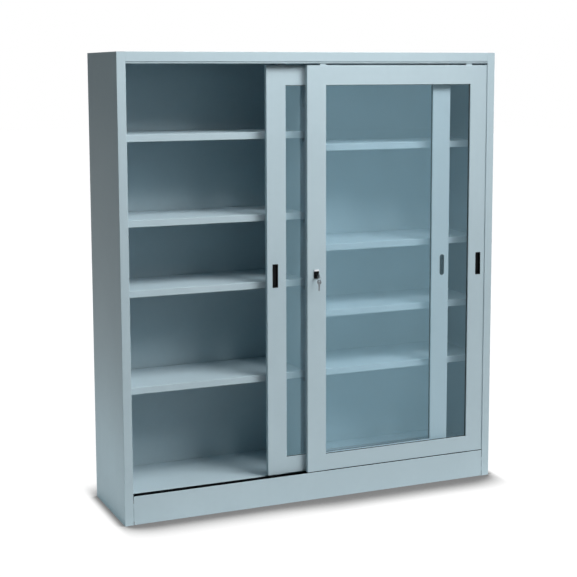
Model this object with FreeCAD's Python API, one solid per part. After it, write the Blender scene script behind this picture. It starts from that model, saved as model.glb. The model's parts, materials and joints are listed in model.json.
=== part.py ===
import FreeCAD
import Part
import math
import os

# Sliding door cabinet of folded sheet steel with two framed glass doors that hang from rollers.
# Millimetres. x runs to the right, y to the back, z up. The origin is the middle of the base.

Vector = FreeCAD.Vector

# carcass
width = 1800.0
depth = 450.0
height = 2000.0
sheet = 1.0             # steel sheet of the carcass and the shelves
bend = 0.5              # inner radius of a fold
seam = 0.2              # gap at a welded or riveted seam
fit = 0.3               # gap round a piece that slides into its place
post_face = 38.4        # front face of each side post
hem = 12.0              # sheet turned back behind a front edge
flange = 20.0           # flange along the base, the top and the back of a panel
fascia_height = 41.0    # front face above the doors
plinth_height = 125.0
plinth_hem = 35.0       # sheet turned down behind the top of the plinth
plinth_gap = 2.2        # open seam between the plinth and a post
tab_gap = 0.1           # gap at the end of a weld tab
tab_levels = ((25.0, 43.0), (75.0, 92.0))   # bottom and top of the weld tabs that cross the seam
floor_drop = 5.0        # from the top of the plinth down to the floor panel
floor_setback = 58.5    # from the front plane to the front edge of the floor panel
floor_skirt = 25.0      # flange round the floor panel
bearer_width = 60.0
bearer_foot = 15.0
bracket_sheet = 1.5
bracket_face = 69.0     # leg of a bracket along the plinth
bracket_cheek = 40.0    # leg of a bracket along the side panel
bracket_low = 15.0

# bottom guide channel
channel_depth = 16.0
guide_wall = 1.6
guide_base = 2.0
guide_top_drop = 2.0    # the guide ends this far below the floor panel
groove_width = 7.0
groove_floor_gap = 3.0  # from the base of a groove to the tongue in it
tongue_width = 5.0
tongue_length = 30.0
tongue_inset = 3.0      # from the edge of a door to its guide
guide_cap = 2.5         # cap of a guide, below the end of the stile
guide_cap_inset = 0.5   # from the faces of the door to the cap
guide_plug = 8.0        # part of a guide inside the stile
guide_plug_gap = 0.2

# centre divider, shelf racks and shelves
divider_width = 49.0
divider_setback = 75.0
divider_foot = 15.0
rack_front_setback = 90.0   # from the front plane to the front row of slots
rack_rear_setback = 22.0    # from the back plane to the rear row of slots
rack_width = 24.0
rack_height = 12.0
rack_foot = 7.0
slot_pitch = 30.0
slot_first = 27.0       # from the floor panel to the first slot
slot_count = 61
slot_width = 12.0
slot_height = 9.0
shelf_setback = 85.0
shelf_lip = 30.0
shelf_return = 20.0
shelf_back_gap = 5.0
shelf_end_gap = 1.5
left_shelf_slots = (13, 27, 37, 49)
right_shelf_slots = (13, 22, 32, 47)
clip_width = 12.0
clip_ledge = 14.0
clip_sheet = 1.2
clip_ledge_sheet = 2.0
clip_drop = 18.0
clip_hook_reach = 3.0
clip_to_slot = 9.0      # from the top of a clip down to the middle of its slot
clip_slot_gap = 0.5     # play of a clip's hook in its slot

# rivets down the back
rivet_pitch = 150.0
rivet_first = 45.0
rivet_radius = 1.6
rivet_hole_gap = 0.05
rivet_head = 3.2
rivet_head_height = 0.8
rivet_tail = 2.6
rivet_tail_height = 2.0

# door jambs and buffers
jamb_depth = 31.5       # from the side of the cabinet to the face that the doors meet
jamb_rear_setback = 60.0
jamb_foot = 10.0
buffer_radius = 6.0
buffer_height = 2.7
buffer_levels = (300.0, 1700.0)
stop_gap = 0.3          # left between a door and its buffers

# doors
door_thickness = 20.0
door_overlap = 93.0     # how far the closed doors cover each other
door_front_gap = 1.0    # between the hems and the front door
door_pitch = 30.0       # from the front of one door to the front of the other
door_bottom_gap = 3.0   # above the plinth
door_top_gap = 15.0     # below the fascia
rear_door_rest = 639.3  # how far the rear door stands open
frame_sheet = 1.2
frame_corner = 1.5      # outer radius at the edge of a door
frame_arris = 0.8       # outer radius at the edge of the glass
stile_face = 90.5
top_rail_face = 86.0
bottom_rail_face = 74.0
glass_seat = 6.0        # how far the frame laps over the glass
front_lip = 7.0
back_lip = 6.0
glass_thickness = 4.0
glass_edge_gap = 2.0
gasket_show = 1.5       # gasket that shows inside the frame

# flush pulls and the finger cup of the rear door, all trays let into the stiles
grip_level = 1026.3
pull_inset = 38.5       # from the edge of the door to the middle of the pull
pull_width = 26.4
pull_height = 104.0
pull_corner = 1.5
pull_boss_radius = 3.0
pull_boss_height = 1.5
pull_boss_level = 40.0  # below the middle of the pull
cup_inset = 35.0        # from the edge of the door to the middle of the cup
cup_width = 22.8
cup_height = 96.5
tray_flange = 1.0
tray_rim = 2.2          # flange that covers the edge of the cut-out
tray_wall = 1.5
tray_depth = 13.0

# hangers, rollers and the top track
track_wall = 1.6
track_front_drop = 47.0     # front leg of the track, from under the roof
hanger_inset = {"left": 77.5, "right": 98.5}
hanger_width = 30.0
hanger_sheet = 2.0
hanger_setback = 1.5    # behind the front of the door
hanger_foot = 16.5
hanger_height = 46.0
axle_height = 34.0      # above the top of the door
axle_radius = 3.0
axle_play = 0.05
axle_head_radius = 4.5
axle_head = 1.6
roller_side_gap = 1.0
roller_width = 8.0
roller_radius = 11.5
roller_groove_radius = 9.5
roller_groove_width = 4.0
rail_rib_width = 3.0
rail_rib_height = 4.6
rail_gap = 0.3          # between a roller and its rib
rail_lip = 3.3          # rail foot in front of the rib
rail_leg_gap = 6.0      # from the rib to the leg
screw_offset = 11.0
screw_setback = 13.0    # behind the front of the door
screw_radius = 2.0
screw_play = 0.05
screw_head_radius = 3.2
screw_head = 2.2
screw_length = 9.0

# lock and keys
lock_inset = 43.0
lock_level = 1022.0
plate_width = 24.0
plate_height = 32.0
plate_rise = 2.0        # the plate's middle above the lock's axis
plate_thickness = 4.0
plate_corner = 1.5
trim_height = 8.5
trim_width = 23.0
trim_thickness = 5.0
barrel_radius = 9.0
barrel_hole_gap = 0.2
barrel_proud = 5.0
barrel_tail = 1.5       # behind the door
plug_radius = 6.0
plug_play = 0.05
plug_proud = 0.5
plug_tail = 0.3
cam_thickness = 2.0
cam_width = 12.0
cam_reach = 30.0
cam_screw_radius = 3.5
cam_screw_head = 1.5
keyway_width = 2.2
keyway_height = 8.4
keyway_depth = 23.0
key_thickness = 2.0
key_blade_height = 8.0
key_blade_length = 20.0
key_neck_height = 9.0
key_neck_length = 9.5
key_neck_root = 1.0     # part of the neck inside the round of the bow
key_bow_radius = 11.0
key_hole_offset = 5.5
key_hole_radius = 2.6
ring_radius = 9.0
ring_wire = 0.75
ring_play = 0.3
spare_key_turn = 35.0   # degrees about the vertical, from the plane of the key in the lock

# values worked out from the sizes above
half = sheet / 2
hem_pitch = sheet + 2 * bend
hem_back = 2 * sheet + 2 * bend
side_inner = width / 2 - sheet
front_plane = -depth / 2
back_plane = depth / 2
front_mid = front_plane + half
hem_mid = front_mid + hem_pitch
behind_hem = front_plane + hem_back
back_mid = back_plane - half
back_panel_front = back_plane - 2 * sheet
roof_underside = height - sheet
plinth_end = width / 2 - post_face - plinth_gap
floor_level = plinth_height - floor_drop
floor_front = front_plane + floor_setback
floor_half_width = side_inner - seam
ledge_level = floor_level - channel_depth
plinth_rear_mid = back_panel_front - 2 * seam - sheet - half
plinth_rear_end = width / 2 - flange - seam
rivet_x = divider_width / 2 + divider_foot / 2
rivet_levels = [floor_level + rivet_first + rivet_pitch * n
                for n in range(int((height - floor_level - rivet_first - flange) / rivet_pitch) + 1)]
jamb_face = width / 2 - jamb_depth
rack_rows = (front_plane + rack_front_setback, back_plane - rack_rear_setback)
rack_face = side_inner - seam - rack_height
shelf_front = front_plane + shelf_setback
shelf_back = back_panel_front - shelf_back_gap
door_edge = jamb_face - buffer_height - stop_gap
door_width = (2 * door_edge + door_overlap) / 2
door_bottom = plinth_height + door_bottom_gap
door_top = height - fascia_height - door_top_gap
front_door_face = behind_hem + door_front_gap
rear_door_face = front_door_face + door_pitch
front_door_left = door_edge - door_width
rear_door_left = -door_edge + rear_door_rest
axle_level = door_top + axle_height
front_pull_x = front_door_left + door_width - pull_inset
rear_pull_x = rear_door_left + pull_inset
cup_x = rear_door_left + door_width - cup_inset
cup_corner = cup_width / 2
lock_x = front_door_left + lock_inset
barrel_front = front_door_face - barrel_proud
barrel_back = front_door_face + door_thickness + barrel_tail
plug_front = barrel_front - plug_proud
plug_back = barrel_back + plug_tail
bow_y = plug_front - key_neck_length - key_bow_radius + key_neck_root
hole_y = bow_y - key_hole_offset
ring_top = lock_level - key_hole_radius + ring_wire + ring_play
ring_bottom = ring_top - 2 * ring_radius
spare_hole = ring_bottom - key_hole_radius + ring_wire + ring_play


def box(x0, x1, y0, y1, z0, z1):
    """Block between two corners, given in either order."""
    low = Vector(min(x0, x1), min(y0, y1), min(z0, z1))
    return Part.makeBox(abs(x1 - x0), abs(y1 - y0), abs(z1 - z0), low)


def cylinder(radius, start, along, length):
    """Round bar that starts at a point and runs along a direction."""
    return Part.makeCylinder(radius, length, Vector(*start), Vector(*along))


def united(first, *others):
    """One solid from pieces that meet, without the seams between their flat faces."""
    return first.fuse(list(others)).removeSplitter()


def in_space(plane, u, v, level):
    """Point of a section: plan holds x and y, side holds y and z, front holds x and z."""
    if plane == "plan":
        return Vector(u, v, level)
    if plane == "side":
        return Vector(level, u, v)
    return Vector(u, level, v)


def run_out(plane, edges, start, end):
    """Solid made by running a closed section from one level to another."""
    face = Part.Face(Part.Wire(Part.__sortEdges__(edges)))
    return face.extrude(in_space(plane, 0, 0, end) - in_space(plane, 0, 0, start))


def corner_arc(before, corner, after, radius):
    """Start, middle and end of the arc that rounds a corner, with its centre."""
    enter = (corner - before).normalize()
    leave = (after - corner).normalize()
    reach = radius * math.tan(enter.getAngle(leave) / 2)
    first = corner - enter * reach
    last = corner + leave * reach
    inward = (leave - enter).normalize()
    centre = corner + inward * math.hypot(radius, reach)
    return first, centre - inward * radius, last, centre


def join(points, edges, plane, level):
    """Line between two points of a section, left out where they meet."""
    start, end = [in_space(plane, p.x, p.y, level) for p in points]
    if start.distanceToPoint(end) > 1e-6:
        edges.append(Part.makeLine(start, end))


def folded(plane, path, start, end, gauge=sheet):
    """Sheet bent along a path through the middle of its thickness and run between two levels."""
    path = [Vector(u, v, 0) for u, v in path]
    middle_radius = bend + gauge / 2
    edges = []
    ends = []
    for side in (1, -1):
        shift = side * gauge / 2
        first_way = (path[1] - path[0]).normalize()
        here = path[0] + Vector(-first_way.y, first_way.x, 0) * shift
        ends.append(here)
        for before, corner, after in zip(path, path[1:], path[2:]):
            first, middle, last, centre = corner_arc(before, corner, after, middle_radius)
            enter = (corner - before).normalize()
            left = Vector(-enter.y, enter.x, 0)
            scale = 1 - shift * left.dot(centre - first) / middle_radius ** 2
            arc = [centre + (p - centre) * scale for p in (first, middle, last)]
            join((here, arc[0]), edges, plane, start)
            edges.append(Part.Arc(*[in_space(plane, p.x, p.y, start) for p in arc]).toShape())
            here = arc[2]
        last_way = (path[-1] - path[-2]).normalize()
        finish = path[-1] + Vector(-last_way.y, last_way.x, 0) * shift
        join((here, finish), edges, plane, start)
        ends.append(finish)
    join((ends[0], ends[2]), edges, plane, start)
    join((ends[1], ends[3]), edges, plane, start)
    return run_out(plane, edges, start, end)


def rounded(plane, points, radii, start, end):
    """Solid with a closed outline whose corners are rounded by the given radii."""
    points = [Vector(u, v, 0) for u, v in points]
    edges = []
    spots = []
    for index, corner in enumerate(points):
        if radii[index] == 0:
            spots.append((corner, corner))
            continue
        after = points[(index + 1) % len(points)]
        first, middle, last, centre = corner_arc(points[index - 1], corner, after, radii[index])
        arc = [in_space(plane, p.x, p.y, start) for p in (first, middle, last)]
        edges.append(Part.Arc(*arc).toShape())
        spots.append((first, last))
    for index, spot in enumerate(spots):
        join((spot[1], spots[(index + 1) % len(spots)][0]), edges, plane, start)
    return run_out(plane, edges, start, end)


def plate(u_middle, v_middle, wide, high, corner, y0, y1):
    """Upright plate with rounded corners, seen from the front."""
    u0, u1 = u_middle - wide / 2, u_middle + wide / 2
    v0, v1 = v_middle - high / 2, v_middle + high / 2
    outline = ((u0, v0), (u1, v0), (u1, v1), (u0, v1))
    return rounded("front", outline, [corner] * 4, y0, y1)


def mirrored(shape):
    """The same piece on the other side of the cabinet."""
    return shape.mirror(Vector(0, 0, 0), Vector(1, 0, 0))


# carcass

def side_panel():
    """Left side with its front post, back flange, and flanges at the base and the top."""
    outer = -width / 2
    path = (
        (outer + post_face - hem, hem_mid),
        (outer + post_face - half, hem_mid),
        (outer + post_face - half, front_mid),
        (outer + half, front_mid),
        (outer + half, back_mid),
        (outer + flange, back_mid),
    )
    panel = folded("plan", path, 0, height)
    front, back = behind_hem + seam, back_panel_front - seam
    base = box(outer + sheet, outer + flange, front, back, 0, sheet)
    top = box(outer + sheet, outer + flange, front, back, roof_underside - sheet, roof_underside)
    return united(panel, base, top)


def roof_panel():
    """Top sheet with the fascia at its front and a flange down the back."""
    fascia_bottom = height - fascia_height
    path = (
        (hem_mid, fascia_bottom + hem),
        (hem_mid, fascia_bottom + half),
        (front_mid, fascia_bottom + half),
        (front_mid, height - half),
        (back_mid, height - half),
        (back_mid, height - flange),
    )
    end = side_inner - seam
    roof = folded("side", path, -end, end)
    post = width / 2 - post_face - seam
    rear = width / 2 - flange - seam
    for side in (1, -1):
        low, high = fascia_bottom - sheet, height + sheet
        notch = box(side * post, side * width, front_plane - sheet, behind_hem + seam, low, high)
        relief = box(side * rear, side * width, back_plane - sheet - seam, depth, low, high)
        roof = roof.cut([notch, relief])
    return roof


def floor_panel():
    """Floor with the ledge that carries the bottom guide, and a skirt along its sides and back."""
    rear = back_panel_front - seam - half
    path = (
        (behind_hem + seam, ledge_level - half),
        (floor_front + half, ledge_level - half),
        (floor_front + half, floor_level - half),
        (rear, floor_level - half),
        (rear, floor_level - floor_skirt),
    )
    panel = folded("side", path, -floor_half_width, floor_half_width)
    skirts = []
    for side in (1, -1):
        outer, inner = side * floor_half_width, side * (floor_half_width - sheet)
        front, back = floor_front + sheet + bend, rear - half - bend
        skirts.append(box(outer, inner, front, back, floor_level - floor_skirt, floor_level - sheet))
    return united(panel, *skirts)


def plinth_front():
    """Plinth with a long hem behind its top edge and weld tabs that reach the posts."""
    path = (
        (hem_mid, plinth_height - plinth_hem),
        (hem_mid, plinth_height - half),
        (front_mid, plinth_height - half),
        (front_mid, half),
        (front_plane + flange, half),
    )
    board = folded("side", path, -plinth_end, plinth_end)
    tabs = []
    for side in (1, -1):
        for low, high in tab_levels:
            tip = side * (plinth_end + plinth_gap - tab_gap)
            tabs.append(box(side * plinth_end, tip, front_plane, front_plane + sheet, low, high))
    return united(board, *tabs)


def plinth_rear():
    """Channel under the back of the floor panel, open to the front."""
    lip = plinth_rear_mid + half - flange
    path = (
        (lip, half),
        (plinth_rear_mid, half),
        (plinth_rear_mid, floor_level - sheet - half),
        (lip, floor_level - sheet - half),
    )
    return folded("side", path, -plinth_rear_end, plinth_rear_end)


def plinth_brackets():
    """Four angles that tie the plinths to the side panels."""
    low = bracket_low
    high = floor_level - floor_skirt - 2 * sheet
    outer = side_inner - seam
    brackets = []
    for side in (1, -1):
        for start, way in ((behind_hem + seam, 1), (plinth_rear_mid - half, -1)):
            face = box(side * outer, side * (outer - bracket_face), start, start + way * bracket_sheet,
                       low, high)
            cheek = box(side * outer, side * (outer - bracket_sheet), start, start + way * bracket_cheek,
                        low, high)
            brackets.append(united(face, cheek))
    return Part.makeCompound(brackets)


def floor_bearer():
    """Channel that stands on the ground and carries the middle of the floor panel."""
    side = bearer_width / 2
    top = floor_level - sheet - half
    path = (
        (-side - bearer_foot, top),
        (-side + half, top),
        (-side + half, half),
        (side - half, half),
        (side - half, top),
        (side + bearer_foot, top),
    )
    start = floor_front + sheet + bend
    end = plinth_rear_mid + half - flange - seam
    return folded("front", path, start, end)


def back_panel():
    """Left half of the back, riveted to the divider's foot."""
    outer = side_inner - bend - seam
    panel = box(-outer, -seam, back_panel_front, back_panel_front + sheet, sheet + seam,
                roof_underside - bend - seam)
    for level in rivet_levels:
        spot = (-rivet_x, back_panel_front - sheet, level)
        panel = panel.cut(cylinder(rivet_radius + rivet_hole_gap, spot, (0, 1, 0), 3 * sheet))
    return panel


def back_rivets():
    """Blind rivets that hold the back panels to the centre divider."""
    rivets = []
    outside = back_panel_front + sheet
    inside = back_panel_front - sheet
    for side in (1, -1):
        for level in rivet_levels:
            x = side * rivet_x
            shank = cylinder(rivet_radius, (x, inside, level), (0, 1, 0), outside - inside)
            head = cylinder(rivet_head, (x, outside, level), (0, 1, 0), rivet_head_height)
            tail = cylinder(rivet_tail, (x, inside, level), (0, -1, 0), rivet_tail_height)
            rivets.append(united(shank, head, tail))
    return Part.makeCompound(rivets)


def slot_cutters(x0, x1, row):
    """Row of shelf slots between two planes."""
    cutters = []
    for index in range(slot_count):
        middle = floor_level + slot_first + slot_pitch * index
        cutters.append(box(x0, x1, row - slot_width / 2, row + slot_width / 2,
                           middle - slot_height / 2, middle + slot_height / 2))
    return cutters


def centre_divider():
    """Upright between the two bays, folded from one sheet, with four rows of slots."""
    side = divider_width / 2
    front = front_plane + divider_setback
    rear = back_panel_front - half
    path = (
        (-side - divider_foot, rear),
        (-side + half, rear),
        (-side + half, front + half),
        (side - half, front + half),
        (side - half, rear),
        (side + divider_foot, rear),
    )
    wall = folded("plan", path, floor_level, roof_underside)
    cutters = []
    for row in rack_rows:
        cutters += slot_cutters(-side - sheet, side + sheet, row)
    for x in (-rivet_x, rivet_x):
        for level in rivet_levels:
            spot = (x, rear - sheet, level)
            cutters.append(cylinder(rivet_radius + rivet_hole_gap, spot, (0, 1, 0), 3 * sheet))
    return wall.cut(cutters)


def shelf_racks():
    """The two slotted strips on the left side panel."""
    foot = -side_inner + seam + half
    crown = -rack_face - half
    strips = []
    for row in rack_rows:
        path = (
            (foot, row - rack_width / 2 - rack_foot),
            (foot, row - rack_width / 2),
            (crown, row - rack_width / 2),
            (crown, row + rack_width / 2),
            (foot, row + rack_width / 2),
            (foot, row + rack_width / 2 + rack_foot),
        )
        strip = folded("plan", path, floor_level + seam, roof_underside - sheet - seam)
        strips.append(strip.cut(slot_cutters(crown - sheet, crown + sheet, row)))
    return Part.makeCompound(strips)


def door_jamb():
    """Left channel that the doors close against."""
    face = -jamb_face - half
    front = behind_hem + seam + half
    rear = front_plane + jamb_rear_setback - half
    foot = -side_inner + seam + half
    path = (
        (foot - half, front),
        (face, front),
        (face, rear),
        (foot, rear),
        (foot, rear + jamb_foot),
    )
    return folded("plan", path, floor_level + seam, roof_underside - sheet - seam)


def door_buffers():
    """Rubber buffers on both jambs, at the middle of each door's thickness."""
    buffers = []
    for side in (1, -1):
        for face in (front_door_face, rear_door_face):
            for level in buffer_levels:
                spot = (side * jamb_face, face + door_thickness / 2, level)
                buffers.append(cylinder(buffer_radius, spot, (-side, 0, 0), buffer_height))
    return Part.makeCompound(buffers)


def shelf_underside(slot):
    """Level of a shelf's underside for the slot that its clips hang in."""
    return floor_level + slot_first + slot_pitch * slot + clip_to_slot


def shelf(slot):
    """Shelf of the left bay, with lips down its front and back that turn in below."""
    low = shelf_underside(slot)
    path = (
        (shelf_front + shelf_return, low + half),
        (shelf_front + half, low + half),
        (shelf_front + half, low + shelf_lip - half),
        (shelf_back - half, low + shelf_lip - half),
        (shelf_back - half, low + half),
        (shelf_back - shelf_return, low + half),
    )
    start = -rack_face + shelf_end_gap
    end = -divider_width / 2 - shelf_end_gap
    return folded("side", path, start, end)


def clip(wall, way, row, slot):
    """Clip that hooks into a slot of the wall and carries one corner of a shelf."""
    top = shelf_underside(slot)
    y0, y1 = row - clip_width / 2, row + clip_width / 2
    ledge = box(wall, wall + way * clip_ledge, y0, y1, top - clip_ledge_sheet, top)
    back = box(wall, wall + way * clip_sheet, y0, y1, top - clip_drop, top)
    hook_half = slot_width / 2 - clip_slot_gap
    reach = slot_height / 2 - clip_slot_gap
    middle = top - clip_to_slot
    hook = box(wall, wall - way * clip_hook_reach, row - hook_half, row + hook_half,
               middle - reach, middle + reach)
    return united(ledge, back, hook)


def shelf_clips():
    """Four clips for each shelf."""
    clips = []
    for side, slots in ((-1, left_shelf_slots), (1, right_shelf_slots)):
        for slot in slots:
            for row in rack_rows:
                clips.append(clip(side * rack_face, -side, row, slot))
                clips.append(clip(side * divider_width / 2, side, row, slot))
    return Part.makeCompound(clips)


# tracks

def rib_middle(face):
    """Middle of the track rib that carries the door with this front face."""
    return face + hanger_setback + hanger_sheet + roller_side_gap + roller_width / 2


def top_track():
    """Profile under the roof: a front leg that closes the gap, and one rail for each door."""
    end = jamb_face - fit
    front = behind_hem + seam
    rib_top = axle_level - roller_groove_radius - rail_gap
    foot_top = rib_top - rail_rib_height
    web_bottom = roof_underside - track_wall
    leg_back = rib_middle(rear_door_face) + rail_rib_width / 2 + rail_leg_gap + track_wall
    web = box(-end, end, front, leg_back, web_bottom, roof_underside)
    pieces = [box(-end, end, front, front + track_wall, roof_underside - track_front_drop, web_bottom)]
    for face in (front_door_face, rear_door_face):
        middle = rib_middle(face)
        rib_front = middle - rail_rib_width / 2
        rib_back = middle + rail_rib_width / 2
        leg = rib_back + rail_leg_gap
        pieces.append(box(-end, end, leg, leg + track_wall, foot_top - track_wall, web_bottom))
        pieces.append(box(-end, end, rib_front - rail_lip, leg, foot_top - track_wall, foot_top))
        pieces.append(box(-end, end, rib_front, rib_back, foot_top, rib_top))
    return united(web, *pieces)


def bottom_track():
    """Plastic guide that lines the channel in front of the floor, with a groove under each door."""
    end = side_inner - seam - fit
    front = behind_hem + seam + fit
    back = floor_front - bend - seam
    base_top = ledge_level + guide_base
    top = floor_level - guide_top_drop
    pieces = [
        box(-end, end, front, front + guide_wall, base_top, top),
        box(-end, end, back - guide_wall, back, base_top, top),
    ]
    for face in (front_door_face, rear_door_face):
        middle = face + door_thickness / 2
        for side in (-1, 1):
            wall = middle + side * groove_width / 2
            outer = min(wall + side * guide_wall, back)
            pieces.append(box(-end, end, wall, outer, base_top, top))
    return united(box(-end, end, front, back, ledge_level, base_top), *pieces)


# doors

def frame_member(plane, origin, way, face, front, start, end):
    """Closed tube of a door frame, with the groove for the glass along its inner edge."""
    seat = face - glass_seat
    back = door_thickness
    wall = frame_sheet
    outer = (
        (0, 0), (face, 0), (face, front_lip), (seat, front_lip),
        (seat, back - back_lip), (face, back - back_lip), (face, back), (0, back),
    )
    inner = (
        (wall, wall), (face - wall, wall), (face - wall, front_lip - wall),
        (seat - wall, front_lip - wall), (seat - wall, back - back_lip + wall),
        (face - wall, back - back_lip + wall), (face - wall, back - wall), (wall, back - wall),
    )
    radii = [frame_corner, frame_arris, frame_arris, 0, 0, frame_arris, frame_arris, frame_corner]

    def turned(points):
        if plane == "plan":
            return [(origin + way * across, front + deep) for across, deep in points]
        return [(front + deep, origin + way * across) for across, deep in points]

    shell = rounded(plane, turned(outer), radii, start, end)
    hollow_end = end - wall if plane == "plan" else end + wall
    hollow = rounded(plane, turned(inner), [0] * len(inner), start - wall, hollow_end)
    return shell.cut(hollow)


def stile(edge, way, front, cutters):
    """Upright of a door frame, as tall as the door."""
    bar = frame_member("plan", edge, way, stile_face, front, door_bottom, door_top)
    seat = edge + way * (stile_face - glass_seat)
    tip = edge + way * (stile_face + frame_sheet)
    back = front + door_thickness
    zones = (
        (door_bottom, door_bottom + bottom_rail_face - glass_seat),
        (door_top - top_rail_face + glass_seat, door_top),
    )
    for low, high in zones:
        bar = bar.cut(box(seat, tip, front - sheet, back + sheet, low, high))
        closing = box(seat, seat - way * frame_sheet, front + frame_sheet, back - frame_sheet, low, high)
        bar = bar.fuse(closing)
    return bar.removeSplitter().cut(cutters)


def rail(edge, way, face, left, front, cutters):
    """Cross bar of a door frame, between the two stiles."""
    start = left + stile_face - glass_seat
    end = left + door_width - stile_face + glass_seat
    bar = frame_member("side", edge, way, face, front, start, end)
    seat = edge + way * (face - glass_seat)
    tip = edge + way * (face + frame_sheet)
    for x0, x1 in ((start, start + glass_seat), (end - glass_seat, end)):
        bar = bar.cut(box(x0, x1, front - sheet, front + door_thickness + sheet, seat, tip))
    return bar.cut(cutters)


def pane(left, front):
    """Glass of a door."""
    inset = stile_face - glass_seat + glass_edge_gap
    y0 = front + front_lip + (door_thickness - front_lip - back_lip - glass_thickness) / 2
    low = door_bottom + bottom_rail_face - glass_seat + glass_edge_gap
    high = door_top - top_rail_face + glass_seat - glass_edge_gap
    return box(left + inset, left + door_width - inset, y0, y0 + glass_thickness, low, high)


def gasket(left, front):
    """Rubber channel round the edge of the glass, squeezed between the lips of the frame."""
    inset = stile_face - glass_seat
    low = door_bottom + bottom_rail_face - glass_seat
    high = door_top - top_rail_face + glass_seat
    y0, y1 = front + front_lip, front + door_thickness - back_lip
    shown = glass_seat + gasket_show
    outer = box(left + inset, left + door_width - inset, y0, y1, low, high)
    inner = box(left + inset + shown, left + door_width - inset - shown, y0 - sheet, y1 + sheet,
                low + shown, high - shown)
    return outer.cut([inner, pane(left, front)])


def tray_corner(corner):
    """Corner radius of a tray behind a flange with this corner radius."""
    return max(corner - tray_rim, pull_corner)


def tray(x, front, wide, high, corner):
    """Tray let into a stile: a flange on its face and a pocket behind."""
    face = front - tray_flange
    back = front + tray_depth
    inner = tray_corner(corner)
    margin = tray_rim + tray_wall
    flange_plate = plate(x, grip_level, wide, high, corner, face, front)
    body = plate(x, grip_level, wide - 2 * tray_rim, high - 2 * tray_rim, inner, front, back)
    pocket = plate(x, grip_level, wide - 2 * margin, high - 2 * margin,
                   max(inner - tray_wall, pull_corner / 2), face - sheet, back - tray_wall)
    return united(flange_plate, body).cut(pocket)


def tray_cutter(x, front, wide, high, corner):
    """Cut-out of a stile for a tray."""
    room = 2 * (seam - tray_rim)
    return plate(x, grip_level, wide + room, high + room, tray_corner(corner) + seam,
                 front - sheet, front + frame_sheet + seam)


def pull(x, front):
    """Flush pull with a small boss low in its tray."""
    floor = front + tray_depth - tray_wall
    boss = cylinder(pull_boss_radius, (x, floor, grip_level - pull_boss_level), (0, -1, 0),
                    pull_boss_height)
    return tray(x, front, pull_width, pull_height, pull_corner).fuse(boss).removeSplitter()


def pull_cutter(x, front):
    """Cut-out of a stile for its flush pull."""
    return tray_cutter(x, front, pull_width, pull_height, pull_corner)


def rear_door_pulls():
    """Flush pull at the left of the rear door and the round-ended finger cup at its right."""
    cup = tray(cup_x, rear_door_face, cup_width, cup_height, cup_corner)
    return Part.makeCompound([pull(rear_pull_x, rear_door_face), cup])


def barrel_cutter(x, front):
    """Hole through a stile for the barrel of the lock."""
    start = (x, front - plate_thickness - sheet, lock_level)
    length = door_thickness + plate_thickness + 2 * sheet
    return cylinder(barrel_radius + barrel_hole_gap, start, (0, 1, 0), length)


def hanger_places(left):
    """Middle of the two hangers of a door."""
    return (left + hanger_inset["left"], left + door_width - hanger_inset["right"])


def screw_places(left, front):
    """Axes of the hanger screws of a door."""
    return [(x + way * screw_offset, front + screw_setback)
            for x in hanger_places(left) for way in (-1, 1)]


def screw_holes(left, front):
    """Holes through the hangers and the top of the door frame."""
    low = door_top - screw_length
    return [cylinder(screw_radius + screw_play, (x, y, low), (0, 0, 1), screw_length + 2 * hanger_sheet)
            for x, y in screw_places(left, front)]


def hangers(left, front):
    """The two brackets of a door, each with its riveted axle."""
    y = front + hanger_setback
    brackets = []
    for x in hanger_places(left):
        x0, x1 = x - hanger_width / 2, x + hanger_width / 2
        upright = box(x0, x1, y, y + hanger_sheet, door_top, door_top + hanger_height)
        foot = box(x0, x1, y, y + hanger_foot, door_top, door_top + hanger_sheet)
        hub = y + hanger_sheet
        free = 2 * roller_side_gap + roller_width
        axle = cylinder(axle_radius, (x, hub, axle_level), (0, 1, 0), free)
        head = cylinder(axle_head_radius, (x, hub + free, axle_level), (0, 1, 0), axle_head)
        brackets.append(united(upright, foot, axle, head).cut(screw_holes(left, front)))
    return Part.makeCompound(brackets)


def hanger_screws(left, front):
    """Pan head screws that hold the hangers on the door."""
    seat = door_top + hanger_sheet
    screws = []
    for x, y in screw_places(left, front):
        head = cylinder(screw_head_radius, (x, y, seat), (0, 0, 1), screw_head)
        shank = cylinder(screw_radius, (x, y, seat), (0, 0, -1), screw_length)
        screws.append(united(head, shank))
    return Part.makeCompound(screws)


def roller(x, front):
    """Grooved nylon roller that runs on a rib of the top track."""
    middle = rib_middle(front)
    start = middle - roller_width / 2
    bore = axle_radius + axle_play
    edge = (roller_width - roller_groove_width) / 2
    slope = edge / 2
    profile = (
        (bore, 0), (roller_radius, 0), (roller_radius, edge - slope), (roller_groove_radius, edge),
        (roller_groove_radius, roller_width - edge), (roller_radius, roller_width - edge + slope),
        (roller_radius, roller_width), (bore, roller_width),
    )
    points = [Vector(x + radius, start + along, axle_level) for radius, along in profile]
    face = Part.Face(Part.makePolygon(points + points[:1]))
    return face.revolve(Vector(x, start, axle_level), Vector(0, 1, 0), 360)


def guides(left, front):
    """The two nylon guides plugged into the ends of the stiles; their tongues run in the bottom track."""
    middle = front + door_thickness / 2
    low = ledge_level + guide_base + groove_floor_gap
    blocks = []
    for start in (left + tongue_inset, left + door_width - tongue_inset - tongue_length):
        end = start + tongue_length
        cap_half = door_thickness / 2 - guide_cap_inset
        plug_half = door_thickness / 2 - frame_sheet - guide_plug_gap
        cap_low = door_bottom - guide_cap
        plug_top = door_bottom + guide_plug
        cap = box(start, end, middle - cap_half, middle + cap_half, cap_low, door_bottom)
        plug = box(start, end, middle - plug_half, middle + plug_half, door_bottom, plug_top)
        tongue = box(start, end, middle - tongue_width / 2, middle + tongue_width / 2, low, cap_low)
        blocks.append(united(cap, plug, tongue))
    return Part.makeCompound(blocks)


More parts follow.
